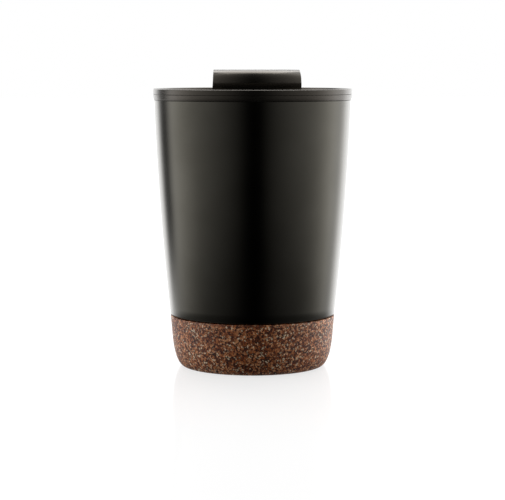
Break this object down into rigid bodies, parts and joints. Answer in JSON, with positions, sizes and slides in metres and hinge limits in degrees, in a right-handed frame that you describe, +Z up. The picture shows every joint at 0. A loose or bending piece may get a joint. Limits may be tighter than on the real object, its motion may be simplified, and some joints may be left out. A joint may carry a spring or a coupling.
{
  "type": "insulated travel cup",
  "caption": "Tapered insulated travel cup with a steel shell, plastic liner, cork foot and push-in lid whose wide flap opens a drinking slot.",
  "frame": {"origin": "centre of the cork foot, on the surface the cup stands on", "axes": "+Z up along the cup's axis, -Y towards the drinker, where the flap's free end and the drinking slot are, +X to the right as the drinker faces the cup's slot from the front"},
  "size_m": [0.089, 0.089, 0.1336],
  "materials": {
    "coated_steel": "dark satin coat on drawn stainless steel",
    "bare_steel": "plain drawn stainless steel",
    "black_plastic": "moulded polypropylene, fine matt texture",
    "silicone": "moulded silicone, matt",
    "cork": "agglomerated dark cork, ground and oiled",
    "foam_tape": "white acrylic foam tape"
  },
  "bodies": {
    "cup": {"outer_shell": "coated_steel", "bottom_plate": "bare_steel", "inner_liner": "black_plastic", "rim_gasket": "silicone", "cork_base": "cork", "adhesive_pad": "foam_tape"},
    "lid_ring": {"lid_seal": "silicone"},
    "lid": {"lid_cover": "black_plastic", "lid_plug": "black_plastic", "hinge_pin": "bare_steel"},
    "flap": {"flap_shell": "black_plastic", "flap_base": "black_plastic", "drink_stopper": "silicone", "vent_plug": "silicone"}
  },
  "joints": [
    {"name": "lid_lift", "type": "slide", "parent": "cup", "child": "lid_ring", "axis": [0, 0, 1], "range_m": [0, 0.06]},
    {"name": "lid_turn", "type": "hinge", "parent": "lid_ring", "child": "lid", "pos_m": [0, 0, 0.12265], "axis": [0, 0, 1], "continuous": true},
    {"name": "flap_hinge", "type": "hinge", "parent": "lid", "child": "flap", "pos_m": [0, 0.006, 0.1286], "axis": [-1, 0, 0], "range_deg": [0, 110]}
  ]
}
